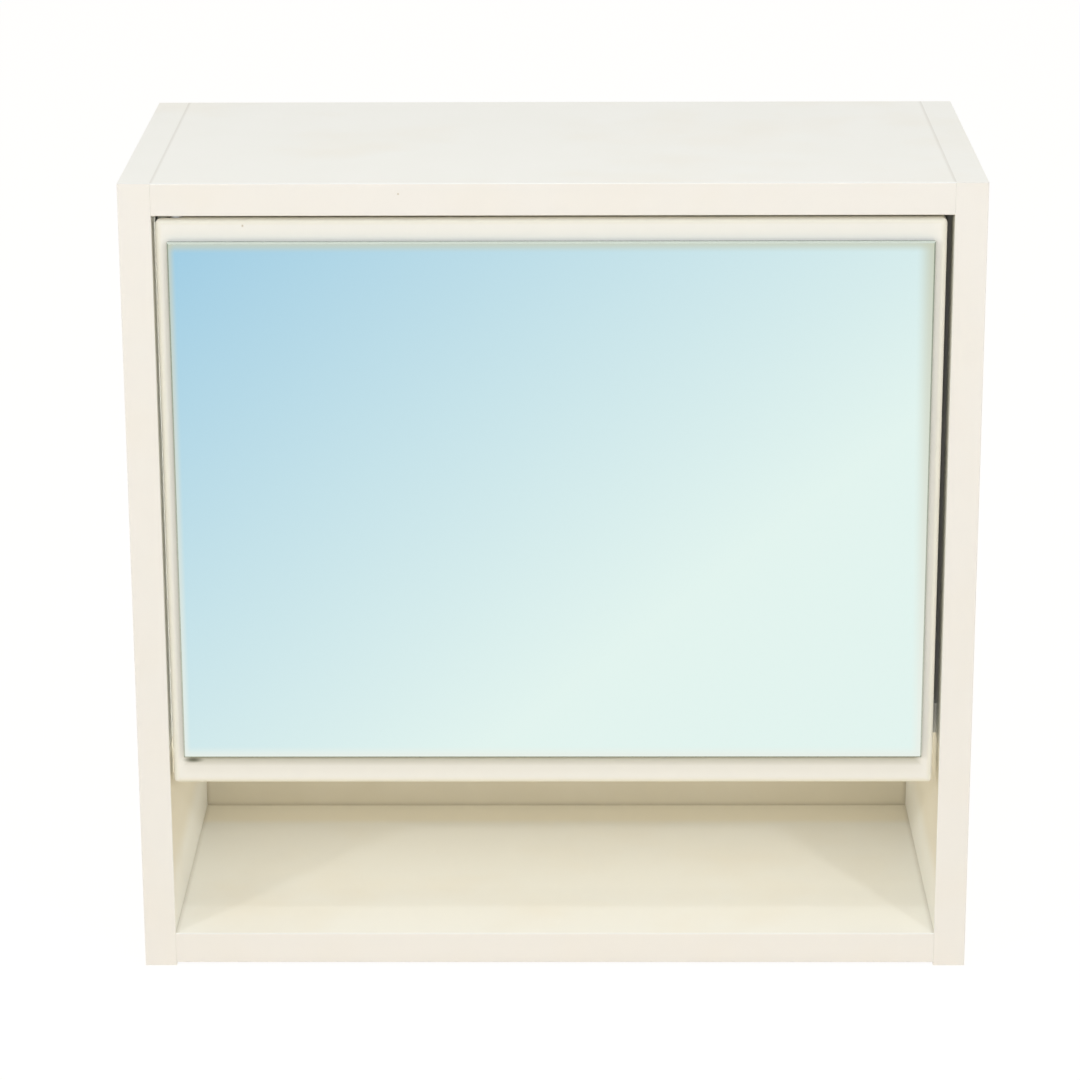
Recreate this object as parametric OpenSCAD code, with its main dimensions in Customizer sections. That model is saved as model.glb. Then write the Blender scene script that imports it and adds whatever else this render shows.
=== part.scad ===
// Wall cabinet with one mirrored door and an open shelf below it.
// Origin: middle of the two wall-screw holes, on the wall plane. +Y points into the wall, +Z up.

/* [Cabinet] */
// Overall width
cabinet_w = 500; // [420:10:700]
// Overall height
cabinet_h = 487; // [460:1:700]
// Depth from the wall to the front edges
cabinet_d = 240; // [215:5:300]
// Thickness of the carcass boards
board_t = 19; // [18:0.5:22]
// Height of the bottom board above the lower ends of the sides
bottom_raise = 2; // [0:0.5:8]
// Clear height of the open shelf below the cabinet floor
niche_h = 121; // [90:1:150]
// Thickness of the edging strips on the front edges
edging_t = 1; // [0.5:0.1:2]
// Radius of the long edges of the edging strips
edging_r = 0.5; // [0.2:0.1:0.5]

/* [Back and wall fixing] */
// Thickness of the back panel
back_t = 8; // [5:0.5:10]
// Depth of the groove that holds the back panel
groove_depth = 7; // [4:0.5:9]
// Play of a board or panel in a groove or against a neighbour
groove_play = 0.15; // [0.1:0.05:0.5]
// Thickness of the hanging rail
rail_t = 19; // [16:0.5:22]
// Height of the hanging rail
rail_h = 80; // [60:1:110]
// Diameter of the two holes for wall screws
wall_hole_d = 6; // [4.5:0.1:8]
// Distance of each wall hole from the side board next to it
wall_hole_inset = 31; // [25:1:60]

/* [Door] */
// Thickness of the door panel
door_t = 19; // [18:0.5:22]
// How far the door face lies behind the front edges of the carcass
door_recess = 1; // [0:0.1:3]
// Gap along the hinge side
gap_hinge = 2; // [1.6:0.1:4]
// Gap along the free side
gap_free = 4; // [1.5:0.1:6]
// Gap above the door
gap_top = 1.6; // [1:0.1:2.2]
// How far the door hangs below the floor board, as a finger grip
door_grip = 23; // [12:1:40]
// Radius of the long edges of the door face
face_edge_r = 2.5; // [1.5:0.1:2.9]
// Radius of the long edges at the back of the door
back_edge_r = 1.5; // [0.5:0.1:3]
// Radius of the four corners of the door outline
corner_r = 4; // [1:0.5:8]

/* [Mirror] */
// Thickness of the mirror glass
mirror_t = 4; // [3:0.5:6]
// Width of the ground arris round the front of the glass
arris = 0.8; // [0.3:0.1:1.2]
// Door face left free beside the mirror
mirror_side_margin = 7; // [6:0.5:40]
// Door face left free above the mirror
mirror_top_margin = 13.2; // [6:0.1:60]
// Door face left free below the mirror
mirror_bottom_margin = 18; // [6:0.5:60]
// Thickness of the adhesive tape behind the glass
tape_t = 1; // [0.5:0.1:1.5]
// Width of each tape strip
tape_w = 25; // [12:1:40]
// Number of tape strips
tape_count = 4; // [3:1:6]
// Distance of the tape from the edges of the glass
tape_inset = 12; // [6:1:30]

/* [Pivot hinge] */
// Distance of the pivot from the hinge edge of the door
pivot_inset = 12; // [11.5:0.1:13]
// Distance of the pivot behind the door face
pivot_setback = 6.5; // [6:0.1:7]
// Diameter of the pivot pins
pin_d = 4; // [3:0.1:4.5]
// Radial running clearance of a pin in its bush
pin_play = 0.05; // [0.02:0.01:0.1]
// Outer diameter of the bushes in the door
bush_d = 6.5; // [5.7:0.1:6.8]
// Length of the bushes behind their flanges
bush_l = 12; // [8:0.5:20]
// Thickness of the flanges that keep the door off the leaves
flange_t = 0.8; // [0.5:0.1:1.5]
// Play between a flange and its leaf
flange_play = 0.3; // [0.3:0.05:0.5]
// How far a pin reaches into its bush
pin_reach = 10.5; // [6:0.5:18]
// Thickness of the steel leaves
leaf_t = 2.5; // [2:0.1:3]
// Width of the narrow toe that carries the pin
toe_w = 8; // [7:0.1:9]
// Width of the foot that is screwed to the board
foot_w = 26; // [20:0.5:30]
// Length of the foot
foot_l = 42; // [36:1:60]
// Radius of the foot corners
foot_corner_r = 4; // [1:0.5:6]
// Clearance between a leaf and the sides of its notch in the door
notch_play = 0.4; // [0.3:0.05:0.8]
// Room left between the swinging door and the floor board
swing_play = 0.8; // [0.4:0.1:3]

/* [Screws] */
// Diameter of the countersunk screws
screw_d = 3.5; // [3:0.1:4]
// Head diameter of the countersunk screws
screw_head_d = 7; // [6:0.1:7.5]
// Length of the countersunk screws
screw_l = 14; // [11:0.5:14]
// Radial play of a screw in its hole
screw_play = 0.05; // [0.02:0.01:0.15]
// Width of the cross recess in a screw head
recess_w = 0.8; // [0.5:0.1:1.2]
// Height of the flat round heads of the catch screws
pan_head_h = 1.8; // [1.2:0.1:2.5]

/* [Magnetic catch] */
// Distance of the catch from the free side of the cabinet
catch_inset = 36; // [30:1:80]
// Length of the flange with its two screw slots
catch_flange_l = 46; // [44:1:56]
// Radius of the flange's corners
catch_corner_r = 3; // [1:0.5:5]
// Thickness of the flange
catch_flange_t = 2.5; // [1.5:0.1:4]
// Depth of the catch from front to back
catch_depth = 17; // [14:1:22]
// Length of the block that holds the magnet
catch_block_l = 22; // [20:1:26]
// Height of the catch below the top board
catch_h = 13; // [11:0.5:16]
// Wall of the block round the magnet
catch_wall = 1.6; // [1:0.1:2]
// Thickness of each steel pole plate
pole_t = 1.5; // [1:0.1:2]
// How far the pole plates stand out of the block
pole_proud = 1; // [0.5:0.1:2]
// Play between the closed door and what it closes against
closing_play = 0.3; // [0.3:0.05:0.5]
// Thickness of the strike plate on the door
strike_t = 1.2; // [0.8:0.1:2.5]
// Width of the strike plate
strike_w = 24; // [20:1:40]
// Height of the strike plate
strike_h = 14; // [12:0.5:20]
// Radius of its corners
strike_corner_r = 2; // [0.5:0.5:5]
// Distance of the strike plate below the door's top edge
strike_edge = 1; // [0.5:0.1:4]

/* [Door buffer] */
// Diameter of the buffer head
buffer_d = 9; // [7:0.5:12]
// Diameter of the buffer stem
buffer_stem_d = 5; // [3:0.5:6]
// Length of the buffer stem in the floor board
buffer_stem_l = 8; // [5:0.5:12]
// Distance of the buffer from the free side of the cabinet
buffer_inset = 40; // [20:1:80]

/* [Shelf] */
// Thickness of the shelf
shelf_t = 16; // [12:1:19]
// Distance of the shelf's front edge behind the floor board's front edge
shelf_setback = 35; // [10:1:60]
// Gap at each end of the shelf
shelf_gap = 1; // [0.5:0.1:2]
// Diameter of the shelf pins and their holes
peg_d = 5; // [4:0.5:6]
// Depth of the peg holes
peg_hole_depth = 11; // [8:0.5:13]
// Length of a pin inside its hole
peg_in = 10; // [6:0.5:10.5]
// Length of a pin outside its hole
peg_out = 8; // [6:0.5:14]
// Diameter of the collar of a pin
peg_collar_d = 8; // [7:0.5:10]
// Distance between the holes of a row
peg_pitch = 32; // [25:1:32]
// Number of holes in a row
peg_count = 5; // [3:1:5]
// Height of the lowest hole above the floor board
peg_start = 88; // [40:1:100]
// Hole that the shelf rests on, counted from zero
shelf_row = 2; // [0:1:2]
// Distance of the front row of holes from the front edges
peg_front = 80; // [70:1:95]
// Distance of the rear row of holes from the back panel
peg_rear = 32; // [20:1:45]

/* [Board joints] */
// Diameter of a cam housing
cam_d = 15; // [12:0.5:15]
// Height of a cam housing
cam_h = 12.5; // [11:0.5:13]
// Length and width of the driver slots in a cam
cam_slot_l = 7; // [5:0.5:9]
cam_slot_w = 1.6; // [1:0.1:2.5]
// Depth of those slots
cam_slot_depth = 3; // [2:0.1:3]
// Distance of the cam from the joint
cam_inset = 24; // [20:0.5:34]
// Diameter of the cam bolt's shaft
bolt_d = 6; // [5:0.1:6]
// Diameter of the bolt's thread in the side board
thread_d = 5; // [4:0.1:6]
// Length of the bolt's thread in the side board
thread_l = 11; // [8:0.5:14]
// Length of the bolt's head inside the cam
bolt_head_l = 2; // [1.5:0.1:3]
// Length of the neck behind the bolt's head
bolt_neck_l = 3; // [2:0.1:4]
// Play of the bolt's shaft in the board and in the cam
bolt_play = 0.4; // [0.2:0.05:0.6]
// Diameter of the dowels
dowel_d = 8; // [6:0.5:8]
// Length of the dowels
dowel_l = 30; // [25:1:36]
// Chamfer at both ends of a dowel
dowel_chamfer = 1; // [0.5:0.1:2]
// Length of a dowel inside the side board
dowel_in_side = 11; // [8:0.5:13]
// Radial play of dowels, pins and cam housings in their holes
hole_play = 0.05; // [0.02:0.01:0.15]
// Distance of the front cams from the front edges
cam_front = 100; // [95:1:110]
// Distance of the rear cams from the wall
cam_rear = 50; // [45:1:55]
// Distance from a cam to the dowel in front of it
dowel_offset = 25; // [20:1:27]

/* [Hidden] */
$fn = 64;
// Overlap of joined forms, overshoot of cuts, and room at the blind end of a hole
eps = 0.01;
over = 1;
end_play = 0.5;

lacquer = [0.95, 0.94, 0.90];
edging_colour = [0.96, 0.94, 0.89];
panel_white = [0.93, 0.92, 0.87];
steel = [0.72, 0.73, 0.75];
zinc = [0.62, 0.63, 0.65];
beech = [0.83, 0.69, 0.50];
white_plastic = [0.93, 0.93, 0.91];
ferrite = [0.20, 0.20, 0.21];
silvered = [0.74, 0.88, 0.91];
tape_grey = [0.35, 0.37, 0.36];
nylon = [0.90, 0.89, 0.84];
grey_rubber = [0.55, 0.55, 0.53];

// Carcass, measured from the front edges (y = 0), the lower ends of the sides (z = 0) and the middle (x = 0)
half_w = cabinet_w / 2;
inner_half_w = half_w - board_t;
bottom_top = bottom_raise + board_t;
floor_under = bottom_top + niche_h;
floor_top = floor_under + board_t;
ceiling = cabinet_h - board_t;
back_front = cabinet_d - rail_t - back_t;
tongue = groove_depth - end_play;
rail_mid = cabinet_h - board_t - rail_h / 2;
wall_hole_x = inner_half_w - wall_hole_inset;

// Door and pivot
door_left = -inner_half_w + gap_hinge;
door_right = inner_half_w - gap_free;
door_bottom = floor_under - door_grip;
door_top = ceiling - gap_top;
door_back = door_recess + door_t;
pivot_x = door_left + pivot_inset;
pivot_y = door_recess + pivot_setback;
swing_r = norm([pivot_inset - back_edge_r, door_t - pivot_setback - back_edge_r]) + back_edge_r;
floor_front = pivot_y + swing_r + swing_play;

// Mirror
mirror_left = door_left + mirror_side_margin;
mirror_right = door_right - mirror_side_margin;
mirror_bottom = door_bottom + mirror_bottom_margin;
mirror_top = door_top - mirror_top_margin;
glass_back = door_recess - tape_t;

// Rows of joints and holes
joint_heights = [bottom_raise + board_t / 2, floor_under + board_t / 2, ceiling + board_t / 2];
joint_undersides = [bottom_raise, floor_under, ceiling];
cam_rows = [cam_front, cabinet_d - cam_rear];
dowel_rows = [cam_front - dowel_offset, cabinet_d - cam_rear - dowel_offset];
rail_dowel_heights = [rail_mid - rail_h / 4, rail_mid + rail_h / 4];
peg_rows = [peg_front, back_front - peg_rear];
peg_heights = [for (k = [0:peg_count - 1]) floor_top + peg_start + k * peg_pitch];
shelf_under = floor_top + peg_start + shelf_row * peg_pitch + peg_d / 2;
shelf_front = floor_front + shelf_setback;

// Leaves of the pivot hinge
leaf_undersides = [floor_under - leaf_t, ceiling - leaf_t];
bush_faces = [floor_under + flange_play + flange_t, ceiling - leaf_t - flange_play - flange_t];
foot_x = max(pivot_x - foot_w / 2, -inner_half_w + 1);
leaf_screw_places = [
    [foot_x + foot_w * 0.25, floor_front + foot_l * 0.22],
    [foot_x + foot_w * 0.75, floor_front + foot_l * 0.22],
    [foot_x + foot_w * 0.5, floor_front + foot_l * 0.78]];

// Magnetic catch
catch_x = inner_half_w - catch_inset;
pole_front = door_back + strike_t + closing_play;
catch_front = pole_front + pole_proud;
catch_slot_x = (catch_flange_l + catch_block_l) / 4;
magnet_l = catch_block_l - 2 * catch_wall;
pocket_h = catch_h - catch_flange_t - catch_wall;
magnet_h = pocket_h - 2 * pole_t;
seat_play = 0.1;
magnet_depth = catch_depth - catch_wall - seat_play;
pocket_mid = ceiling - catch_flange_t - pocket_h / 2;
strike_mid = door_top - strike_edge - strike_h / 2;
slot_w = screw_d + 0.6;
slot_l = screw_d;
recess_depth = screw_d * 0.35;
bolt_tip = cam_d / 6;
buffer_x = inner_half_w - buffer_inset;

// Moves the carcass coordinates to the wall fixing
module placed() {
    translate([0, -cabinet_d, -rail_mid]) children();
}

module box(low, high) {
    translate(low) cube(high - low);
}

// Extrudes an outline upwards from z0 to z1
module along_z(z0, z1) {
    translate([0, 0, z0]) linear_extrude(z1 - z0) children();
}

// Extrudes an outline, drawn as seen from the front, from y0 to y1
module along_y(y0, y1) {
    translate([0, y1, 0]) rotate([90, 0, 0]) linear_extrude(y1 - y0) children();
}

// Extrudes an outline, drawn with its height along x and its depth along y, from x0 to x1
module along_x(x0, x1) {
    translate([x0, 0, 0]) rotate([90, 0, 90]) linear_extrude(x1 - x0) mirror([1, -1]) children();
}

module both_sides() {
    children();
    mirror([1, 0, 0]) children();
}

// Round bar along X from x0 to x1
module bar_x(x0, x1, y, z, d) {
    translate([x0, y, z]) rotate([0, 90, 0]) cylinder(d = d, h = x1 - x0);
}

// Round bar along Y from y0 to y1
module bar_y(x, y0, y1, z, d) {
    translate([x, y0, z]) rotate([-90, 0, 0]) cylinder(d = d, h = y1 - y0);
}

// Outline of a rectangle with rounded corners
module rounded_rect(low, high, r) {
    translate([low[0] + r, low[1]]) square([high[0] - low[0] - 2 * r, high[1] - low[1]]);
    translate([low[0], low[1] + r]) square([high[0] - low[0], high[1] - low[1] - 2 * r]);
    for (x = [low[0] + r, high[0] - r]) {
        for (y = [low[1] + r, high[1] - r]) translate([x, y]) circle(r);
    }
}

// Countersunk screw, its head flush with z = 0 and its point towards +Z
module screw() {
    head_h = (screw_head_d - screw_d) / 2;
    point_h = screw_d * 0.7;
    difference() {
        union() {
            cylinder(d1 = screw_head_d, d2 = screw_d, h = head_h);
            cylinder(d = screw_d, h = screw_l - point_h);
            translate([0, 0, screw_l - point_h])
                cylinder(d1 = screw_d, d2 = screw_d * 0.3, h = point_h);
        }
        cross_recess(0);
    }
}

// Cross recess of a screw head whose face is at z
module cross_recess(z) {
    for (a = [0, 90]) {
        rotate(a) translate([-screw_d / 2, -recess_w / 2, z - over])
            cube([screw_d, recess_w, over + recess_depth]);
    }
}

// Space of that screw in the board it holds, and of its head where the head is sunk
module screw_hole(sunk) {
    d = screw_d + 2 * screw_play;
    head = screw_head_d + 2 * screw_play;
    translate([0, 0, -eps]) cylinder(d = d, h = screw_l + end_play);
    if (sunk) translate([0, 0, -eps]) cylinder(d1 = head, d2 = d, h = (head - d) / 2 + eps);
}

// Holes that the joint fittings need in a side board, drawn on the left
module side_joint_holes() {
    for (z = joint_heights) {
        for (y = cam_rows) {
            bar_x(-inner_half_w - thread_l - end_play, -inner_half_w + over, y, z,
                thread_d + 2 * hole_play);
        }
        for (y = dowel_rows) dowel_hole(y, z);
    }
    for (z = rail_dowel_heights) dowel_hole(cabinet_d - rail_t / 2, z);
}

// Hole of one dowel through both boards of a joint, drawn on the left
module dowel_hole(y, z) {
    x0 = -inner_half_w - dowel_in_side - end_play;
    bar_x(x0, x0 + dowel_l + 2 * end_play, y, z, dowel_d + 2 * hole_play);
}

// Holes that the joint fittings need in a lying board, drawn at both ends
module board_joint_holes(k) {
    both_sides() {
        for (y = cam_rows) {
            bar_x(-inner_half_w - over, -inner_half_w + cam_inset, y, joint_heights[k],
                bolt_d + 2 * bolt_play);
            translate([-inner_half_w + cam_inset, y, joint_undersides[k] - eps])
                cylinder(d = cam_d + 2 * hole_play, h = cam_h + eps + end_play);
        }
        for (y = dowel_rows) dowel_hole(y, joint_heights[k]);
    }
}

// Groove for the back panel, all round
module back_groove() {
    box([-inner_half_w - groove_depth, back_front - groove_play, bottom_top - groove_depth],
        [inner_half_w + groove_depth, back_front + back_t + groove_play, ceiling + groove_depth]);
}

module side() {
    difference() {
        box([-half_w, edging_t, 0], [-inner_half_w, cabinet_d, cabinet_h]);
        back_groove();
        side_joint_holes();
        for (y = peg_rows) {
            for (z = peg_heights) {
                bar_x(-inner_half_w - peg_hole_depth, -inner_half_w + over, y, z,
                    peg_d + 2 * hole_play);
            }
        }
    }
}

module side_left() {
    color(lacquer) placed() side();
}

module side_right() {
    color(lacquer) placed() mirror([1, 0, 0]) side();
}

module top_board() {
    color(lacquer) placed() difference() {
        box([-inner_half_w, edging_t, ceiling], [inner_half_w, cabinet_d, cabinet_h]);
        back_groove();
        board_joint_holes(2);
        leaf_screw_holes(1, true);
        catch_places() screw_hole(false);
    }
}

module bottom_board() {
    color(lacquer) placed() difference() {
        box([-inner_half_w, edging_t, bottom_raise], [inner_half_w, cabinet_d, bottom_top]);
        back_groove();
        board_joint_holes(0);
    }
}

module floor_board() {
    color(lacquer) placed() difference() {
        box([-inner_half_w, floor_front + edging_t, floor_under], [inner_half_w, back_front, floor_top]);
        board_joint_holes(1);
        leaf_screw_holes(0, true);
        buffer_hole();
    }
}

module back_panel() {
    color(panel_white) placed() difference() {
        box([-inner_half_w - tongue, back_front, bottom_top - tongue],
            [inner_half_w + tongue, back_front + back_t, ceiling + tongue]);
        wall_holes();
    }
}

module hanging_rail() {
    color(lacquer) placed() difference() {
        box([-inner_half_w, cabinet_d - rail_t, ceiling - rail_h], [inner_half_w, cabinet_d, ceiling]);
        wall_holes();
        for (z = rail_dowel_heights) both_sides() dowel_hole(cabinet_d - rail_t / 2, z);
    }
}

module wall_holes() {
    both_sides() bar_y(wall_hole_x, back_front - over, cabinet_d + over, rail_mid, wall_hole_d);
}

module shelf_board() {
    color(lacquer) placed()
        box([-inner_half_w + shelf_gap, shelf_front + edging_t, shelf_under],
            [inner_half_w - shelf_gap, back_front - shelf_gap, shelf_under + shelf_t]);
}

// Section of an edging strip from low to high, its front edges rounded and its front at y
module strip(low, high, y) {
    translate([low, y + edging_r]) square([high - low, edging_t - edging_r]);
    translate([low + edging_r, y]) square([high - low - 2 * edging_r, edging_t]);
    for (x = [low + edging_r, high - edging_r]) translate([x, y + edging_r]) circle(edging_r);
}

module edging_left() {
    color(edging_colour) placed() along_z(0, cabinet_h) strip(-half_w, -inner_half_w, 0);
}

module edging_right() {
    color(edging_colour) placed() along_z(0, cabinet_h) strip(inner_half_w, half_w, 0);
}

module edging_top() {
    color(edging_colour) placed() along_x(-inner_half_w, inner_half_w) strip(ceiling, cabinet_h, 0);
}

module edging_bottom() {
    color(edging_colour) placed()
        along_x(-inner_half_w, inner_half_w) strip(bottom_raise, bottom_top, 0);
}

module edging_floor() {
    color(edging_colour) placed() difference() {
        along_x(-inner_half_w, inner_half_w) strip(floor_under, floor_top, floor_front);
        buffer_hole();
    }
}

module edging_shelf() {
    color(edging_colour) placed()
        along_x(-inner_half_w + shelf_gap, inner_half_w - shelf_gap)
            strip(shelf_under, shelf_under + shelf_t, shelf_front);
}

// Cam housings: a cross bore takes the bolt's head, a cross slot takes the screwdriver
module cam_housing() {
    difference() {
        cylinder(d = cam_d, h = cam_h);
        translate([-cam_d, 0, board_t / 2]) rotate([0, 90, 0])
            cylinder(d = bolt_d + 2 * bolt_play, h = cam_d + bolt_tip + over);
        for (a = [45, 135]) {
            rotate(a) translate([-cam_slot_l / 2, -cam_slot_w / 2, -over])
                cube([cam_slot_l, cam_slot_w, over + cam_slot_depth]);
        }
    }
}

module cam_housings() {
    color(zinc) placed() both_sides() {
        for (z = joint_undersides) {
            for (y = cam_rows) translate([-inner_half_w + cam_inset, y, z]) cam_housing();
        }
    }
}

module cam_bolt(y, z) {
    tip = -inner_half_w + cam_inset + bolt_tip;
    neck = tip - bolt_head_l - bolt_neck_l;
    bar_x(-inner_half_w - thread_l, -inner_half_w + eps, y, z, thread_d);
    bar_x(-inner_half_w, neck, y, z, bolt_d);
    bar_x(neck - eps, tip - bolt_head_l + eps, y, z, bolt_d * 0.6);
    bar_x(tip - bolt_head_l, tip, y, z, bolt_d);
}

module cam_bolts() {
    color(steel) placed() both_sides() {
        for (z = joint_heights) {
            for (y = cam_rows) cam_bolt(y, z);
        }
    }
}

module dowel(y, z) {
    x0 = -inner_half_w - dowel_in_side;
    c = dowel_chamfer;
    translate([x0, y, z]) rotate([0, 90, 0]) rotate_extrude()
        polygon([[0, 0], [dowel_d / 2 - c, 0], [dowel_d / 2, c], [dowel_d / 2, dowel_l - c],
            [dowel_d / 2 - c, dowel_l], [0, dowel_l]]);
}

module dowels() {
    color(beech) placed() both_sides() {
        for (z = joint_heights) {
            for (y = dowel_rows) dowel(y, z);
        }
        for (z = rail_dowel_heights) dowel(cabinet_d - rail_t / 2, z);
    }
}

module shelf_pins() {
    z = shelf_under - peg_d / 2;
    collar_t = shelf_gap * 0.8;
    color(steel) placed() both_sides() {
        for (y = peg_rows) {
            difference() {
                union() {
                    bar_x(-inner_half_w - peg_in, -inner_half_w + peg_out, y, z, peg_d);
                    bar_x(-inner_half_w, -inner_half_w + collar_t, y, z, peg_collar_d);
                }
                box([-inner_half_w - eps, y - peg_collar_d, shelf_under],
                    [-inner_half_w + peg_out + over, y + peg_collar_d, shelf_under + peg_collar_d]);
            }
        }
    }
}

// Steel leaf of the pivot hinge: a screwed foot and a toe that reaches forward into the door
module leaf_outline() {
    rounded_rect([foot_x, floor_front], [foot_x + foot_w, floor_front + foot_l], foot_corner_r);
    translate([pivot_x - toe_w / 2, pivot_y]) square([toe_w, floor_front + foot_l / 2 - pivot_y]);
    translate([pivot_x, pivot_y]) circle(d = toe_w);
}

module leaf(k) {
    difference() {
        along_z(leaf_undersides[k], leaf_undersides[k] + leaf_t) leaf_outline();
        leaf_screw_holes(k, true);
        translate([pivot_x, pivot_y, leaf_undersides[k] - over])
            cylinder(d = pin_d + 2 * eps, h = leaf_t + 2 * over);
    }
}

module leaf_screw_holes(k, sunk) {
    for (p = leaf_screw_places) translate([p[0], p[1], leaf_undersides[k]]) screw_hole(sunk);
}

module pivot_leaf_upper() {
    color(steel) placed() leaf(1);
}

module pivot_leaf_lower() {
    color(steel) placed() leaf(0);
}

module pivot_pins() {
    color(steel) placed() translate([pivot_x, pivot_y]) {
        along_z(leaf_undersides[0], bush_faces[0] + pin_reach) circle(d = pin_d);
        along_z(bush_faces[1] - pin_reach, ceiling) circle(d = pin_d);
    }
}

module leaf_screws() {
    color(steel) placed() {
        for (z = leaf_undersides) {
            for (p = leaf_screw_places) translate([p[0], p[1], z]) screw();
        }
    }
}

// Places of the two catch screws, their heads under the flange
module catch_places() {
    for (s = [-1, 1]) {
        translate([catch_x + s * catch_slot_x, catch_front + catch_depth / 2, ceiling - catch_flange_t])
            children();
    }
}

module catch_housing() {
    color(white_plastic) placed() difference() {
        union() {
            along_z(ceiling - catch_flange_t, ceiling)
                rounded_rect([catch_x - catch_flange_l / 2, catch_front],
                    [catch_x + catch_flange_l / 2, catch_front + catch_depth], catch_corner_r);
            box([catch_x - catch_block_l / 2, catch_front, ceiling - catch_h],
                [catch_x + catch_block_l / 2, catch_front + catch_depth, ceiling - catch_flange_t + eps]);
        }
        box([catch_x - magnet_l / 2, catch_front - over, pocket_mid - pocket_h / 2],
            [catch_x + magnet_l / 2, catch_front + catch_depth - catch_wall, pocket_mid + pocket_h / 2]);
        catch_places() for (s = [-1, 1]) {
            translate([0, s * slot_l / 2, -over]) cylinder(d = slot_w, h = catch_flange_t + 2 * over);
            translate([-slot_w / 2, -slot_l / 2, -over])
                cube([slot_w, slot_l, catch_flange_t + 2 * over]);
        }
    }
}

module catch_magnet() {
    color(ferrite) placed()
        box([catch_x - magnet_l / 2 + seat_play, catch_front + end_play, pocket_mid - magnet_h / 2],
            [catch_x + magnet_l / 2 - seat_play, catch_front + magnet_depth, pocket_mid + magnet_h / 2]);
}

module catch_poles() {
    color(zinc) placed() {
        for (z = [pocket_mid - magnet_h / 2 - pole_t, pocket_mid + magnet_h / 2]) {
            box([catch_x - magnet_l / 2 + seat_play, pole_front, z],
                [catch_x + magnet_l / 2 - seat_play, catch_front + magnet_depth, z + pole_t]);
        }
    }
}

module catch_screws() {
    color(steel) placed() catch_places() pan_screw();
}

// Screw with a flat round head below z = 0 and its point towards +Z
module pan_screw() {
    difference() {
        union() {
            translate([0, 0, -pan_head_h]) cylinder(d = screw_head_d, h = pan_head_h);
            cylinder(d = screw_d, h = screw_l);
        }
        cross_recess(-pan_head_h);
    }
}

module buffer_hole() {
    bar_y(buffer_x, floor_front - over, floor_front + buffer_stem_l + end_play,
        floor_under + board_t / 2, buffer_stem_d + 2 * hole_play);
}

module door_buffer() {
    z = floor_under + board_t / 2;
    front = door_back + closing_play;
    color(grey_rubber) placed() {
        bar_y(buffer_x, floor_front - eps, floor_front + buffer_stem_l, z, buffer_stem_d);
        translate([buffer_x, floor_front, z]) rotate([90, 0, 0])
            cylinder(d1 = buffer_d, d2 = buffer_stem_d + 2, h = floor_front - front);
    }
}

// Door panel: rounded outline, rounded long edges, notches for the leaves, bores for the bushes
module edge_profile(low, high) {
    f = face_edge_r;
    b = back_edge_r;
    difference() {
        translate([low, door_recess]) square([high - low, door_t]);
        for (side = [0, 1]) {
            x = side == 0 ? low : high;
            s = side == 0 ? 1 : -1;
            difference() {
                translate([x - f, door_recess - f]) square(2 * f);
                translate([x + s * f, door_recess + f]) circle(f);
                translate([s > 0 ? x + f : x - 3 * f, door_recess - f]) square([2 * f, 2 * f]);
                translate([x - f, door_recess + f]) square([2 * f, f]);
            }
            difference() {
                translate([x - b, door_back - b]) square(2 * b);
                translate([x + s * b, door_back - b]) circle(b);
                translate([s > 0 ? x + b : x - 3 * b, door_back - b]) square([2 * b, 2 * b]);
            }
        }
    }
}

module door_blank() {
    intersection() {
        along_z(door_bottom, door_top) edge_profile(door_left, door_right);
        along_x(door_left, door_right) edge_profile(door_bottom, door_top);
        along_y(door_recess, door_back)
            rounded_rect([door_left, door_bottom], [door_right, door_top], corner_r);
    }
}

// Room for a leaf while the door turns from shut to a right angle
module leaf_notch(z0, z1) {
    r = toe_w / 2 + notch_play;
    behind = door_back + over - pivot_y;
    along_z(z0, z1) translate([pivot_x, pivot_y]) {
        circle(r);
        translate([-pivot_inset - over, -r]) square([pivot_inset + over, behind + r]);
        translate([-pivot_inset - over, 0]) square([pivot_inset + over + r, behind]);
    }
}

module door_panel() {
    bore = bush_d + 2 * hole_play;
    depth = bush_l + end_play;
    color(lacquer) placed() difference() {
        door_blank();
        leaf_notch(leaf_undersides[0] - notch_play, bush_faces[0]);
        leaf_notch(bush_faces[1], door_top + over);
        translate([pivot_x, pivot_y]) {
            along_z(bush_faces[0] - eps, bush_faces[0] + depth) circle(d = bore);
            along_z(bush_faces[1] - depth, bush_faces[1] + eps) circle(d = bore);
        }
        strike_place() screw_hole(true);
    }
}

// Flanged bush, the back of its flange at z = 0 and its sleeve above
module pivot_bush() {
    difference() {
        union() {
            along_z(-flange_t, 0) circle(d = toe_w);
            along_z(-flange_t, bush_l) circle(d = bush_d);
        }
        along_z(-flange_t - over, bush_l + over) circle(d = pin_d + 2 * pin_play);
    }
}

module pivot_bushes() {
    color(nylon) placed() {
        translate([pivot_x, pivot_y, bush_faces[0]]) pivot_bush();
        translate([pivot_x, pivot_y, bush_faces[1]]) mirror([0, 0, 1]) pivot_bush();
    }
}

// Glass with a ground arris round its front face
module arris_profile(low, high) {
    front = glass_back - mirror_t;
    polygon([[low, glass_back], [low, front + arris], [low + arris, front],
        [high - arris, front], [high, front + arris], [high, glass_back]]);
}

module mirror_glass() {
    color(silvered) placed() intersection() {
        along_z(mirror_bottom, mirror_top) arris_profile(mirror_left, mirror_right);
        along_x(mirror_left, mirror_right) arris_profile(mirror_bottom, mirror_top);
    }
}

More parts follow.
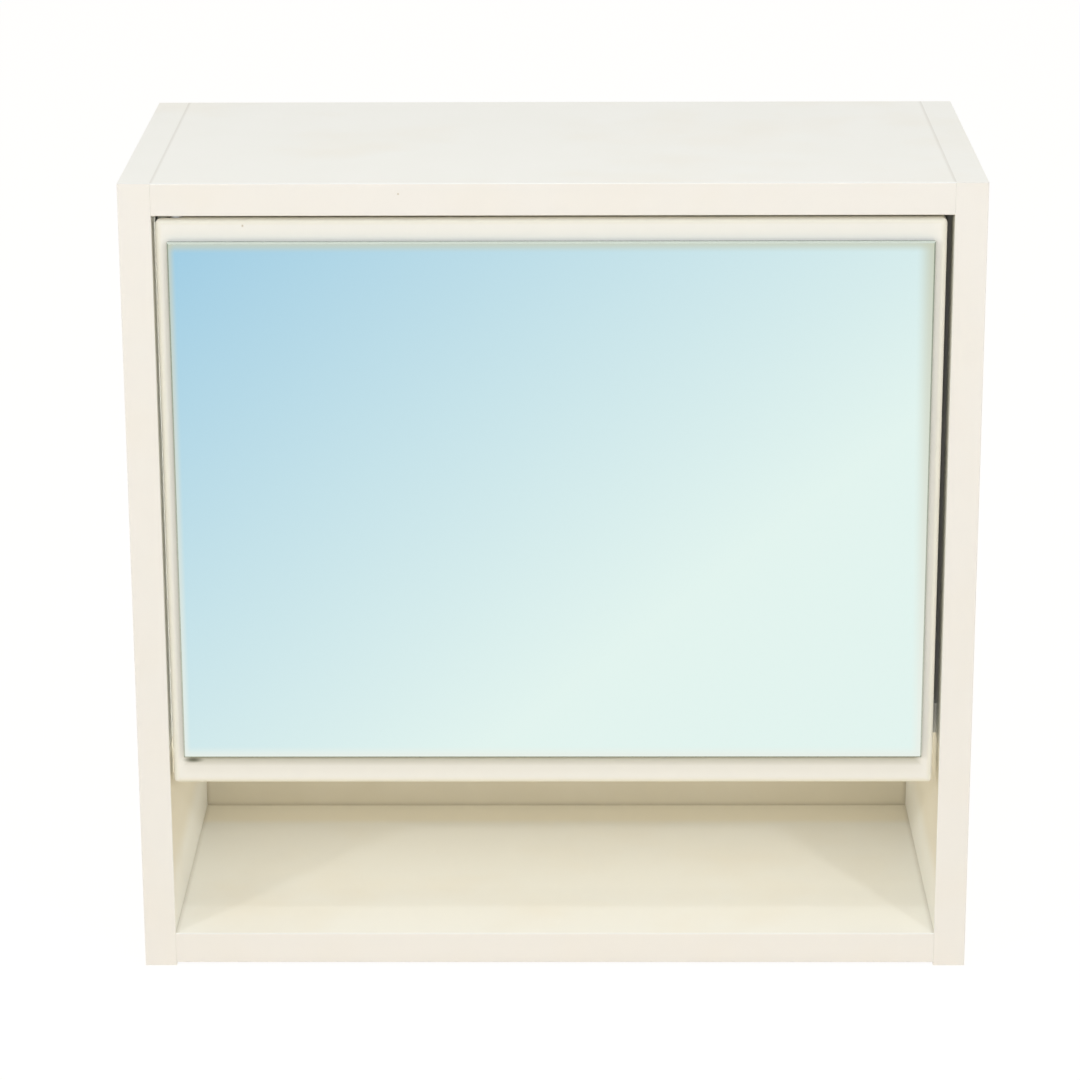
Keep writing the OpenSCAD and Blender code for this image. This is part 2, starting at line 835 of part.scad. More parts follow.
module mirror_tapes() {
    first = mirror_left + tape_inset;
    step = (mirror_right - mirror_left - 2 * tape_inset - tape_w) / (tape_count - 1);
    color(tape_grey) placed() {
        for (k = [0:tape_count - 1]) {
            box([first + k * step, glass_back, mirror_bottom + tape_inset],
                [first + k * step + tape_w, door_recess, mirror_top - tape_inset]);
        }
    }
}

// Place of the strike plate's screw, pointing into the door
module strike_place() {
    translate([catch_x, door_back + strike_t, strike_mid]) rotate([90, 0, 0]) children();
}

module strike_plate() {
    color(zinc) placed() difference() {
        along_y(door_back, door_back + strike_t)
            rounded_rect([catch_x - strike_w / 2, strike_mid - strike_h / 2],
                [catch_x + strike_w / 2, strike_mid + strike_h / 2], strike_corner_r);
        strike_place() screw_hole(true);
    }
}

module strike_screw() {
    color(steel) placed() strike_place() screw();
}

side_left();
side_right();
top_board();
bottom_board();
floor_board();
back_panel();
hanging_rail();
shelf_board();
edging_left();
edging_right();
edging_top();
edging_bottom();
edging_floor();
edging_shelf();
cam_housings();
cam_bolts();
dowels();
shelf_pins();
pivot_leaf_upper();
pivot_leaf_lower();
pivot_pins();
leaf_screws();
catch_housing();
catch_magnet();
catch_poles();
catch_screws();
door_buffer();
door_panel();
mirror_glass();
mirror_tapes();
pivot_bushes();
strike_plate();
strike_screw();
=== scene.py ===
"""Dresses the medicine cabinet: an off-white wall cabinet with a mirrored door and an open shelf."""

import math

import bmesh
import bpy
from bpy.props import FloatProperty, FloatVectorProperty, PointerProperty
from bpy.types import Operator, Panel, PropertyGroup
from mathutils import Euler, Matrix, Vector


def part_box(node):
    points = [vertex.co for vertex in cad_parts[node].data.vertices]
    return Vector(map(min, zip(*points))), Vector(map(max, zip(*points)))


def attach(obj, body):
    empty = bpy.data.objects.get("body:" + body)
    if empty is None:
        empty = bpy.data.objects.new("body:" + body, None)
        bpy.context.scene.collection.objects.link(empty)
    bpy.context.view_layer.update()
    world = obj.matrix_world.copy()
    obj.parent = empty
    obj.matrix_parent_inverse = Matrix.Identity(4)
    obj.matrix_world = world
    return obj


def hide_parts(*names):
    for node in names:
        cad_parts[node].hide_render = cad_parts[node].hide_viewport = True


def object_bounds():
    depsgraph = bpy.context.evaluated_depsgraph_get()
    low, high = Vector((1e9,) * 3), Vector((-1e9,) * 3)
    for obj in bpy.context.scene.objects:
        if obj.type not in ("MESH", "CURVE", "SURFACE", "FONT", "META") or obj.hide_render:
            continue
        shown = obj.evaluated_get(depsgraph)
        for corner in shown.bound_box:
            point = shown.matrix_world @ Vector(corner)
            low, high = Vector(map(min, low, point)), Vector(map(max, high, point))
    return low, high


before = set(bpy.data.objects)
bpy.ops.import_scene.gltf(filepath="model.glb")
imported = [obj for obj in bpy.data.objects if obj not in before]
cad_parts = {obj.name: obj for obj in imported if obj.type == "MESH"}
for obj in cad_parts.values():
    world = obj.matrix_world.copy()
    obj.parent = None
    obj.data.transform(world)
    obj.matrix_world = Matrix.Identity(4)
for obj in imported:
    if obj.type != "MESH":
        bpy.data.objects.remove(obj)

bl_info = {
    "name": "Medicine Cabinet",
    "version": (1, 0, 0),
    "blender": (4, 5, 0),
    "location": "View3D > Sidebar > Cabinet",
    "description": "Builds and finishes a wall cabinet with a mirrored door and an open shelf",
    "category": "Object",
}

MM = 0.001
WHITE = (1, 1, 1, 1)
TO_RIGHT, TO_LEFT = Vector((1, 0, 0)), Vector((-1, 0, 0))
TO_WALL, TO_FRONT = Vector((0, 1, 0)), Vector((0, -1, 0))
UP, DOWN = Vector((0, 0, 1)), Vector((0, 0, -1))

CAD_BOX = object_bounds()
DOOR_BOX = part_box("door_panel")
GLASS_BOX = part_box("mirror_glass")
TOP_STRIP_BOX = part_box("edging_top")
SHELF_BOX = (
    Vector((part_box("side_left")[1].x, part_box("bottom_board")[0].y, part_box("bottom_board")[1].z)),
    Vector((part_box("side_right")[0].x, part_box("back_panel")[0].y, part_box("floor_board")[0].z)),
)
# Farther out than any face of the cabinet, for a box that is open on a side
FAR = 1.0
# The open shelf without a front, and the room above the top board between its joints with the sides
IN_SHELF = (Vector((SHELF_BOX[0].x, -FAR, SHELF_BOX[0].z)), SHELF_BOX[1])
ABOVE_TOP = (
    Vector((SHELF_BOX[0].x, -FAR, CAD_BOX[1].z)),
    Vector((SHELF_BOX[1].x, FAR, CAD_BOX[1].z + FAR)),
)
# How far outside a box a point still counts as on its side
ON_SIDE = 0.5 * MM
# The mirror's painted reflection changes tone along this line, from its upper left to its lower right
TONE_LINE = Vector((0.631, 0.0, -0.776))
# How a fade starts and ends gently
EASED = {"interpolation_type": "SMOOTHSTEP"}


def srgb(code):
    """Turns an sRGB hex colour such as #EFEDE5 into linear red, green and blue, fully opaque."""
    parts = [int(code[k : k + 2], 16) / 255 for k in (1, 3, 5)]
    linear = [c / 12.92 if c <= 0.04045 else ((c + 0.055) / 1.055) ** 2.4 for c in parts]
    return (*linear, 1.0)


def colour_property(name, description, code):
    """A colour that a user can change, given as an sRGB hex colour."""
    return FloatVectorProperty(
        name=name, description=description, subtype="COLOR", size=4, min=0, max=1, default=srgb(code)
    )


def length_property(name, description, default):
    """A length in metres that a user can change."""
    return FloatProperty(
        name=name, description=description, default=default, min=0, unit="LENGTH", precision=5
    )


def angle_property(name, description, degrees):
    """An angle that a user can change, given in degrees."""
    return FloatProperty(
        name=name, description=description, subtype="ANGLE", default=math.radians(degrees)
    )


def power_property(name, description, default):
    """The power of a lamp in watts that a user can change."""
    return FloatProperty(name=name, description=description, default=default, min=0, unit="POWER")


class BoardSettings(PropertyGroup):
    """Colours of the boards, the door and their edges, and the wear and painted shade on them."""

    soft_edge: length_property("Soft edge", "Wear on the boards' sharp edges", 0.2 * MM)
    foil: colour_property("Foil", "Colour of the boards' foil", "#F5F4EC")
    foil_aged: colour_property("Aged foil", "Tone of the faint yellowed patches", "#F2ECDD")
    edging: colour_property("Edging", "Colour of the edging strips", "#F3F4F3")
    core_pale: colour_property("Pale chips", "Pale tone of the bare chipboard", "#C9AC82")
    core_dark: colour_property("Dark chips", "Dark tone of the bare chipboard", "#9A7B54")
    fibre_pale: colour_property("Pale fibre", "Pale tone of the bare hardboard", "#8F6E4B")
    fibre_dark: colour_property("Dark fibre", "Dark tone of the bare hardboard", "#7B5B3B")
    # Painted shade in the corners of the open shelf, and dirt in the joints on the top
    grime_and_shade: colour_property("Grime", "Tone of the dirt in the joints and corners", "#8A7A5C")
    # Painted shade, darker towards the back of the open shelf's floor
    back_shade: colour_property("Film", "Tone of the dust that lies on the open shelf", "#8F8873")
    # Painted shade, darker and yellower, at the back of the shelf's floor and high on its sides
    yellowed: colour_property("Yellowed foil", "Foil in the shade of the open shelf", "#E1D5B6")
    chip: colour_property("Chip", "Tone of small chips, where the bare edge shows", "#FFFDF8")
    speck: colour_property("Speck", "Tone of small specks of dirt", "#CBC4B4")
    lacquer: colour_property("Door lacquer", "Colour of the door's face", "#F4F6F3")
    # Painted shade along the door's rounded edges
    lacquer_edge: colour_property("Door edge", "Tone along the door's rounded edges", "#EFF0E6")
    # Painted shade along the door's top edge, and a little along its left edge
    soil_and_edge_shade: colour_property("Soiled edge", "Tone of the door's top and left edge", "#C4BDAB")
    glue: colour_property("Glue mark", "Tone of a smear of old glue under the mirror", "#6E7060")
    # Painted shadow on the door round the mirror, most of it below
    painted_shade: colour_property("Dust", "Tone of the dust on the door round the mirror", "#A3A58E")
    back: colour_property("Back panel", "Colour of the coated back panel", "#E5DDC7")


class MirrorSettings(PropertyGroup):
    """Sizes and colours of the mirror."""

    arris: length_property("Arris", "Width of the ground arris round the glass", 0.8 * MM)
    paint_inset: length_property("Paint inset", "Glass left clear round the paint", 0.6 * MM)
    haze_left: length_property("Left haze", "Width of the haze along the left edge", 5.0 * MM)
    haze_top: length_property("Top haze", "Width of the haze along the top edge", 6.5 * MM)
    haze_right: length_property("Right haze", "Width of the haze, upper right corner", 11.5 * MM)
    haze_low: length_property("Low haze", "Width of the haze, lower right corner", 7.5 * MM)
    haze_bottom: length_property("Bottom haze", "Width of the haze along the bottom", 8.0 * MM)
    deep: colour_property("Upper left", "Tone of the mirror at its upper left corner", "#A0CADF")
    middle: colour_property("Middle", "Tone of the mirror between the two ends", "#C1DDE4")
    pale: colour_property("Lower right", "Tone of the mirror at its lower right half", "#DDEEE9")
    haze: colour_property("Haze", "Tone of the haze along the top", "#C4C9B6")
    pale_haze: colour_property("Pale haze", "Tone of the haze along the bottom edge", "#E4EAE2")
    cut_edge: colour_property("Cut edge", "Green of the glass at its cut edge", "#BFCBC1")
    cut_edge_back: colour_property("Cut edge, back", "Cut edge next to the silver", "#5F6F62")
    ground_edge: colour_property("Ground edge", "Tone of the ground arris", "#8C9C8C")
    ground_pale: colour_property("Pale ground edge", "Tone of the arris, low on the sides", "#C2CEC4")


class StageSettings(PropertyGroup):
    """Camera, floor and light."""

    lens: FloatProperty(name="Lens", description="Focal length", default=128.08, unit="CAMERA")
    eye: FloatVectorProperty(
        name="Eye", description="Place of the camera", subtype="TRANSLATION", unit="LENGTH",
        default=(12.87 * MM, -2399.4 * MM, 529.8 * MM), precision=4
    )
    pitch: angle_property("Pitch", "How far the camera looks down", 17.604)
    yaw: angle_property("Yaw", "How far the camera turns to the left", 0.552)
    roll: angle_property("Roll", "How far the camera tips over its line of sight", 0.219)
    sky: FloatProperty(name="Sky", description="Strength of the light from all round", default=0.48)
    key_power: power_property("Key lights", "Power of each lamp left and right in front", 14.0)
    left_height: angle_property("Left key height", "Angle of the left lamp above the level", 20.3)
    left_side: angle_property("Left key side", "Angle of the left lamp to the left", 40)
    right_height: angle_property("Right key height", "Angle of the right lamp above the level", 23)
    right_side: angle_property("Right key side", "Angle of the right lamp to the right", 30)
    top_power: power_property("Top light", "Power of the small lamp overhead", 6.5)
    top_height: angle_property("Top height", "Angle of the small top lamp above the level", 64.5)
    soft_power: power_property("Soft light", "Power of the large soft lamp overhead", 25.0)
    soft_height: angle_property("Soft height", "Angle of the large lamp above the level", 75)
    soft_size: length_property("Soft size", "Width and height of the large soft lamp", 2.5)
    lamp_distance: length_property("Lamp distance", "Distance of the lamps from the cabinet", 3.0)
    lamp_width: length_property("Lamp width", "Width of the small lamps", 0.2)
    lamp_height: length_property("Lamp height", "Height of the small lamps", 0.07)
    shelf_power: power_property("Shelf light", "Power of the weak fill in the open shelf", 0.142)
    ends_power: power_property("Shelf ends", "Power of the fill at each end of the shelf", 0.022)
    ends_width: length_property("Ends' width", "Width of the fill at each end", 60 * MM)
    gap_power: power_property("Gap light", "Power of the glow in the hinge side's gap", 0.006)
    slit_power: power_property("Slit light", "Power of the glow behind the free side's gap", 0.0016)
    slit_width: length_property("Slit width", "Width of the glow behind that gap", 20 * MM)
    slit_inset: length_property("Slit inset", "Distance of that glow from the side board", 5 * MM)
    slit_setback: length_property("Slit setback", "Distance of that glow behind the door", 12 * MM)
    floor_size: length_property("Floor size", "Width of the floor", 24.0)
    floor_paper: colour_property("Floor paper", "Tone of the floor's shadow", "#F4E2C6")
    floor_glow: FloatProperty(name="Floor glow", description="Strength of the white", default=1.06)
    floor_shade: FloatProperty(
        name="Floor shade", description="Share of the floor's tone that takes the shadow",
        default=0.1, min=0, max=1, subtype="FACTOR"
    )


class CabinetSettings(PropertyGroup):
    """Everything that can be changed on the cabinet and its stage."""

    boards: PointerProperty(type=BoardSettings)
    mirror: PointerProperty(type=MirrorSettings)
    stage: PointerProperty(type=StageSettings)


def add(tree, kind, values=(), **settings):
    """Adds a node with its settings and returns it. Its inputs, by name or number or in order, take
    a value, another node's output, or another node, which stands for its first output in use."""
    made = tree.nodes.new(kind)
    for name, value in settings.items():
        setattr(made, name, value)
    filled = values.items() if isinstance(values, dict) else enumerate(values)
    for socket, value in filled:
        if isinstance(value, bpy.types.Node):
            value = next(output for output in value.outputs if output.enabled)
        if isinstance(value, bpy.types.NodeSocket):
            tree.links.new(value, made.inputs[socket])
        else:
            made.inputs[socket].default_value = value
    return made


def empty_tree(owner):
    """The node tree of a material or a world, emptied."""
    owner.use_nodes = True
    owner.node_tree.nodes.clear()
    return owner.node_tree


def start_material(name):
    """A new material, its empty node tree, and the place on the piece in metres."""
    material = bpy.data.materials.new(name)
    tree = empty_tree(material)
    return material, tree, add(tree, "ShaderNodeTexCoord").outputs["Object"]


def finish_material(material, values):
    """Gives a material its shader, with values or patterns for the inputs, and returns it."""
    shader = add(material.node_tree, "ShaderNodeBsdfPrincipled", values)
    add(material.node_tree, "ShaderNodeOutputMaterial", {"Surface": shader})
    return material


def coats(tree, ground, *layers):
    """A ground colour under further ones. Each layer is a share from 0 to 1 and its colour."""
    for share, colour in layers:
        ground = add(tree, "ShaderNodeMix", {0: share, 6: ground, 7: colour}, data_type="RGBA")
    return ground


def mottled(tree, point, size, span=(0.3, 0.7), shares=(0, 1), detail=2.0):
    """Cloudy patches about size metres across. The share rises over a span of the clouds' 0 to 1."""
    clouds = add(tree, "ShaderNodeTexNoise", {"Vector": point, "Scale": 1 / size, "Detail": detail})
    return add(tree, "ShaderNodeMapRange", (clouds, *span, *shares))


def grained(tree, point, size, depth, detail=2.0):
    """A relief of grains about size metres across and depth metres deep."""
    grains = add(tree, "ShaderNodeTexNoise", {"Vector": point, "Scale": 1 / size, "Detail": detail})
    return add(tree, "ShaderNodeBump", {"Height": grains, "Distance": depth})


def facing(tree, direction):
    """1 on the faces that face a direction, 0 on the others."""
    normal = add(tree, "ShaderNodeTexCoord").outputs["Normal"]
    along = add(tree, "ShaderNodeVectorMath", (normal, direction), operation="DOT_PRODUCT")
    return add(tree, "ShaderNodeMapRange", (along, 0.9, 0.95, 0, 1))


def beyond(tree, point, origin, direction):
    """How far the point lies from origin along a direction."""
    shifted = add(tree, "ShaderNodeVectorMath", (point, origin), operation="SUBTRACT")
    return add(tree, "ShaderNodeVectorMath", (shifted, direction), operation="DOT_PRODUCT")


def inside_by(tree, point, low, high):
    """How far the point lies inside the box from low to high: across, in depth and in height."""
    shifted = add(tree, "ShaderNodeVectorMath", (point, (low + high) / 2), operation="SUBTRACT")
    folded = add(tree, "ShaderNodeVectorMath", (shifted,), operation="ABSOLUTE")
    inward = add(tree, "ShaderNodeVectorMath", ((high - low) / 2, folded), operation="SUBTRACT")
    return add(tree, "ShaderNodeSeparateXYZ", (inward,)).outputs


def edge_distance(tree, point, low, high):
    """Distance, seen from the front, to the nearest side of the rectangle from low to high."""
    across, _, up = inside_by(tree, point, low, high)
    return add(tree, "ShaderNodeMath", (across, up), operation="MINIMUM")


def kept_inside(tree, share, distance):
    """Keeps a share inside a box and on its sides, by the distance into the box, and 0 outside."""
    inside = add(tree, "ShaderNodeMapRange", (distance, -1.2 * ON_SIDE, -0.8 * ON_SIDE, 0, 1))
    return add(tree, "ShaderNodeMath", (share, inside), operation="MULTIPLY")


def grime_and_shade_in_corners(tree, point, box, reach, share):
    """A share of dirt and painted shade along the inner edges of a box, which fades to 0 at reach
    metres from them.
    """
    across, deep, up = inside_by(tree, point, *box)
    # Where two sides of the box meet, the second smallest of the three distances is small too
    smaller = add(tree, "ShaderNodeMath", (across, deep), operation="MINIMUM")
    larger = add(tree, "ShaderNodeMath", (across, deep), operation="MAXIMUM")
    nearest = add(tree, "ShaderNodeMath", (smaller, up), operation="MINIMUM")
    held = add(tree, "ShaderNodeMath", (larger, up), operation="MINIMUM")
    second = add(tree, "ShaderNodeMath", (smaller, held), operation="MAXIMUM")
    near = add(tree, "ShaderNodeMapRange", (second, 0, reach, share, 0), **EASED)
    return kept_inside(tree, near, nearest)


def spot(tree, point, middle, width, height):
    """1 in the middle of a small oval, seen from the front, fading to 0 at its rim."""
    shifted = add(tree, "ShaderNodeVectorMath", (point, middle), operation="SUBTRACT")
    scale = (2 / width, 0, 2 / height)
    scaled = add(tree, "ShaderNodeVectorMath", (shifted, scale), operation="MULTIPLY")
    reach = add(tree, "ShaderNodeVectorMath", (scaled,), operation="LENGTH")
    return add(tree, "ShaderNodeMapRange", (reach, 0.1, 1.1, 1, 0), **EASED)


def bare_rear(tree, point, dark, pale, length):
    """A layer that leaves the faces to the wall bare: brown, with chips or fibres length long."""
    stretched = add(tree, "ShaderNodeMapping", {"Vector": point, "Scale": (1, 1, 0.4)})
    chips = mottled(tree, stretched, length, span=(0.35, 0.65))
    return facing(tree, TO_WALL), coats(tree, dark, (chips, pale))


def shaded_in_shelf(tree, point, at_back, high_up):
    """Shares of painted yellowish shade in the open shelf: along its back, and high on its sides."""
    low, high = SHELF_BOX
    deep, tall = high.y - low.y, high.z - low.z
    depth, height = beyond(tree, point, low, TO_WALL), beyond(tree, point, low, UP)
    back = add(tree, "ShaderNodeMapRange", (depth, 0.83 * deep, 0.89 * deep, 0, at_back), **EASED)
    top = add(tree, "ShaderNodeMapRange", (height, 0.22 * tall, 0.42 * tall, 0, high_up), **EASED)
    either = add(tree, "ShaderNodeMath", (back, top), operation="MAXIMUM")
    return kept_inside(tree, either, edge_distance(tree, point, low, high))


def foil_faced_chipboard(
    settings, name="foil_faced_chipboard", raw_rear=True, back_shaded=False, shaded=(0, 0)
):
    """Chipboard with a printed foil pressed on: satin, with a faint pebble from the press, patches
    that have turned yellow with age, and bare rear edges. Painted shade darkens the corners of the open
    shelf, and dirt the joints on the top. A board with a shaded back has painted shade towards the back
    of the shelf's floor, and a shaded one painted yellowish shade at the back or high up in the open
    shelf."""
    material, tree, point = start_material(name)
    patches = mottled(tree, point, 90 * MM, span=(0.52, 0.78), shares=(0, 0.55), detail=3)
    layers = [(patches, settings.foil_aged)]
    # Painted shade, darker towards the back of the open shelf's floor
    if back_shaded:
        low, high = SHELF_BOX
        depth, deep = beyond(tree, point, low, TO_WALL), high.y - low.y
        back_shade = add(tree, "ShaderNodeMapRange", (depth, 0.35 * deep, 0.8 * deep, 0, 0.26))
        layers.append((back_shade, settings.back_shade))
    # Painted yellowish shade at the back of the shelf's floor and high on its sides
    if any(shaded):
        layers.append((shaded_in_shelf(tree, point, *shaded), settings.yellowed))
    # Painted shade darkens the corners of the open shelf, and dirt the joints on the top
    for box, reach, share in ((IN_SHELF, 3 * MM, 0.22), (ABOVE_TOP, 1.8 * MM, 0.18)):
        layers.append((grime_and_shade_in_corners(tree, point, box, reach, share), settings.grime_and_shade))
    if raw_rear:
        layers.append(bare_rear(tree, point, settings.core_dark, settings.core_pale, 1.2 * MM))
    return finish_material(material, {
        "Base Color": coats(tree, settings.foil, *layers),
        "Roughness": mottled(tree, point, 35 * MM, shares=(0.38, 0.48)),
        "IOR": 1.5,
        # The pebble of the press plate is about 1 mm across, drawn at 1.6 mm so that it shows
        "Normal": grained(tree, point, 1.6 * MM, 0.012 * MM, detail=1),
    })


def pvc_edging(settings):
    """PVC edging strip, trimmed and buffed: a little glossier than the boards, with the shallow
    waves that the buffing wheel leaves, 2 to 3 mm across."""
    material, tree, point = start_material("pvc_edging")
    soil_and_edge_shade = mottled(tree, point, 60 * MM, span=(0.45, 0.8), shares=(0, 0.2))
    layers = [(soil_and_edge_shade, settings.foil_aged)]
    # Chips on the lower edge of the top strip, and one speck above them
    lower_edge = TOP_STRIP_BOX[0].z
    for x in (-100 * MM, 83 * MM, 133 * MM):
        chip = spot(tree, point, (x, 0, lower_edge - 0.4 * MM), 5 * MM, 1.6 * MM)
        layers.append((chip, settings.chip))
    speck = spot(tree, point, (-88.6 * MM, 0, lower_edge + 12.8 * MM), 1.6 * MM, 1.4 * MM)
    layers.append((speck, settings.speck))
    return finish_material(material, {
        "Base Color": coats(tree, settings.edging, *layers),
        "Roughness": 0.36,
        "IOR": 1.53,
        "Normal": grained(tree, point, 2.5 * MM, 0.01 * MM, detail=1),
    })


def sprayed_lacquer(settings):
    """Lacquer sprayed on a fibreboard door: satin, slightly grey-green, with orange peel, and a warmer
    painted shade along the rounded edges, painted shade on the top edge and painted shadow round the
    mirror."""
    material, tree, point = start_material("sprayed_lacquer")
    low, high = DOOR_BOX
    inset = edge_distance(tree, point, low, high)
    # Painted shade along the rounded edges
    rounded_edge_shade = add(tree, "ShaderNodeMapRange", (inset, 1.5 * MM, 4.5 * MM, 0.9, 0), **EASED)
    layers = [(rounded_edge_shade, settings.lacquer_edge)]
    # Painted shade makes the top edge greyer, and the left edge a little
    for edge, inward, share in ((high, DOWN, 0.5), (low, TO_RIGHT, 0.2)):
        inset = beyond(tree, point, edge, inward)
        edge_shadow = add(tree, "ShaderNodeMapRange", (inset, 0.5 * MM, 2.5 * MM, share, 0), **EASED)
        layers.append((edge_shadow, settings.soil_and_edge_shade))
    toned = coats(tree, settings.lacquer, *layers)
    # On the front, painted shadow round the mirror, most of it below
    marks = []
    for beside, below, share in ((1.5 * MM, 1.5 * MM, 0.3), (0.6 * MM, 7.0 * MM, 0.85)):
        shadow_low = GLASS_BOX[0] - Vector((beside, 0, below))
        shadow_high = GLASS_BOX[1] + Vector((beside, 0, 0))
        depth = edge_distance(tree, point, shadow_low, shadow_high)
        mirror_shadow = add(tree, "ShaderNodeMapRange", (depth, 0, below, 0, share))
        marks.append((mirror_shadow, settings.painted_shade))
    # A smear of glue under the mirror's lower left corner, and a speck near the top edge
    corner = GLASS_BOX[0] + Vector((5.2, 0, -3.2)) * MM
    marks.append((spot(tree, point, corner, 14 * MM, 4.2 * MM), settings.glue))
    below_top = (low.x + 50.5 * MM, 0, high.z - 4.3 * MM)
    marks.append((spot(tree, point, below_top, 1.6 * MM, 2 * MM), settings.speck))
    marked_and_shadowed = coats(tree, toned, *marks)
    return finish_material(material, {
        "Base Color": coats(tree, toned, (facing(tree, TO_FRONT), marked_and_shadowed)),
        "Roughness": 0.34,
        "IOR": 1.5,
        "Coat Weight": 0.15,
        "Coat Roughness": 0.25,
        # Orange peel of a sprayed coat is 2 to 3 mm across
        "Normal": grained(tree, point, 2.5 * MM, 0.015 * MM, detail=1),
    })


def coated_hardboard(settings):
    """Fibreboard with a coated front face, matt and a little darker than the foil, and a bare back."""
    material, tree, point = start_material("coated_hardboard")
    cloudy = mottled(tree, point, 70 * MM, span=(0.4, 0.75), shares=(0, 0.3), detail=3)
    # Painted shade in the corners of the open shelf
    corner_shade = grime_and_shade_in_corners(tree, point, IN_SHELF, 3 * MM, 0.22)
    bare = bare_rear(tree, point, settings.fibre_dark, settings.fibre_pale, 0.8 * MM)
    layers = ((cloudy, settings.foil_aged), (corner_shade, settings.grime_and_shade), bare)
    return finish_material(material, {
        "Base Color": coats(tree, settings.back, *layers),
        "Roughness": 0.6,
        "IOR": 1.48,
        "Normal": grained(tree, point, 1.2 * MM, 0.01 * MM),
    })


def silvered_glass(settings):
    """Float glass silvered on its back, with a painted reflection: a cool tint that deepens towards the
    upper left, and a soft olive haze along the edges."""
    material, tree, point = start_material("silvered_glass")
    low, high = GLASS_BOX
    corner = Vector((low.x, low.y, high.z))
    reach = (Vector((high.x, low.y, low.z)) - corner).dot(TONE_LINE)
    # Painted reflection: the tint runs from the upper left to the lower right
    along = beyond(tree, point, corner, TONE_LINE)
    place = add(tree, "ShaderNodeMapRange", (along, 0, reach, 0, 1))
    ramp = add(tree, "ShaderNodeValToRGB", (place,))
    stops = ramp.color_ramp.elements
    stops[0].position, stops[0].color = 0.02, settings.deep
    stops[1].position, stops[1].color = 0.68, settings.pale
    stops.new(0.34).color = settings.middle
    # The haze is paler and, on the right, narrower towards the bottom
    height, tall = beyond(tree, point, low, UP), high.z - low.z
    upwards = add(tree, "ShaderNodeMapRange", (height, 0.1 * tall, tall, 0, 1))
    widths = (settings.haze_low, settings.haze_right)
    widening = add(tree, "ShaderNodeMapRange", (upwards, 0, 1, *widths))
    sides = coats(tree, settings.pale_haze, (upwards, settings.haze))
    layers = []
    for edge, inward, width, share, colour in (
        (high, DOWN, settings.haze_top, 0.8, settings.haze),
        (high, TO_LEFT, widening, 0.9, sides),
        (low, TO_RIGHT, settings.haze_left, 0.7, sides),
        (low, UP, settings.haze_bottom, 0.8, settings.pale_haze),
    ):
        inset = beyond(tree, point, edge, inward)
        hazy = add(tree, "ShaderNodeMapRange", (inset, settings.arris, width, share, 0), **EASED)
        layers.append((hazy, colour))
    return finish_material(material, {
        "Base Color": coats(tree, ramp, *layers),
        "Metallic": 1.0,
        "Roughness": 0.03,
    })


def cut_glass_edge(settings):
    """Sawn and polished edge of the glass: pale green along the front, and dark green towards the
    back, where the silver and its paint show through, darkened further by painted shade of the gap
    behind the glass."""
    material, tree, point = start_material("cut_glass_edge")
    low, high = GLASS_BOX
    depth, thick = beyond(tree, point, low, TO_WALL), high.y - low.y
    # Darker towards the back: the silver showing through, and painted shade of the gap behind the glass
    silvered = add(tree, "ShaderNodeMapRange", (depth, 0.55 * thick, 0.85 * thick, 0, 1), **EASED)
    return finish_material(material, {
        "Base Color": coats(tree, settings.cut_edge, (silvered, settings.cut_edge_back)),
        "Roughness": mottled(tree, point, 3 * MM, shares=(0.08, 0.2)),
        "IOR": 1.52,
    })


def ground_glass_arris(settings):
    """Arris ground at 45 degrees round the front of the glass, with a fine frosting, in painted
    shade: dark grey-green, and paler low on the sides."""
    material, tree, point = start_material("ground_glass_arris")
    low, high = GLASS_BOX
    height, arris = beyond(tree, point, low, UP), settings.arris
    # Painted shade: darker up the sides, paler low down
    paler = add(tree, "ShaderNodeMapRange", (height, arris, high.z - low.z, 1, 0))
    on_sides = add(tree, "ShaderNodeMapRange", (height, arris, 2 * arris, 0, 1))
    share = add(tree, "ShaderNodeMath", (paler, on_sides), operation="MULTIPLY")
    return finish_material(material, {
        "Base Color": coats(tree, settings.ground_edge, (share, settings.ground_pale)),
        "Roughness": mottled(tree, point, 1.5 * MM, shares=(0.22, 0.4)),
        "IOR": 1.52,
    })


def backing_paint():
    """Grey paint that protects the silver on the back of the mirror: matt, rolled on."""
    material, tree, point = start_material("backing_paint")
    rolled = mottled(tree, point, 4 * MM, detail=3)
    return finish_material(material, {
        "Base Color": coats(tree, srgb("#5E6466"), (rolled, srgb("#686E70"))),
        "Roughness": 0.7,
        "IOR": 1.5,
        "Normal": grained(tree, point, 1.5 * MM, 0.02 * MM),
    })


def nickel_plated_steel():
    """Stamped and nickel-plated steel: bright, slightly warm, with fine drawing marks."""
    material, tree, point = start_material("nickel_plated_steel")
    return finish_material(material, {
        "Base Color": srgb("#C9C5BC"),
        "Metallic": 1.0,
        "Roughness": mottled(tree, point, 0.8 * MM, shares=(0.22, 0.38), detail=3),
        "Normal": grained(tree, point, 0.8 * MM, 0.004 * MM),
    })


def die_cast_zinc():
    """Zinc, cast or plated and left bare: dull blue-grey, with a grainy skin."""
    material, tree, point = start_material("die_cast_zinc")
    grain = mottled(tree, point, 0.7 * MM, span=(0, 1), detail=3)
    return finish_material(material, {
        "Base Color": coats(tree, srgb("#A9ABAE"), (grain, srgb("#B9BABB"))),
        "Metallic": 1.0,
        "Roughness": 0.45,
        "Normal": grained(tree, point, 0.7 * MM, 0.01 * MM, detail=3),
    })


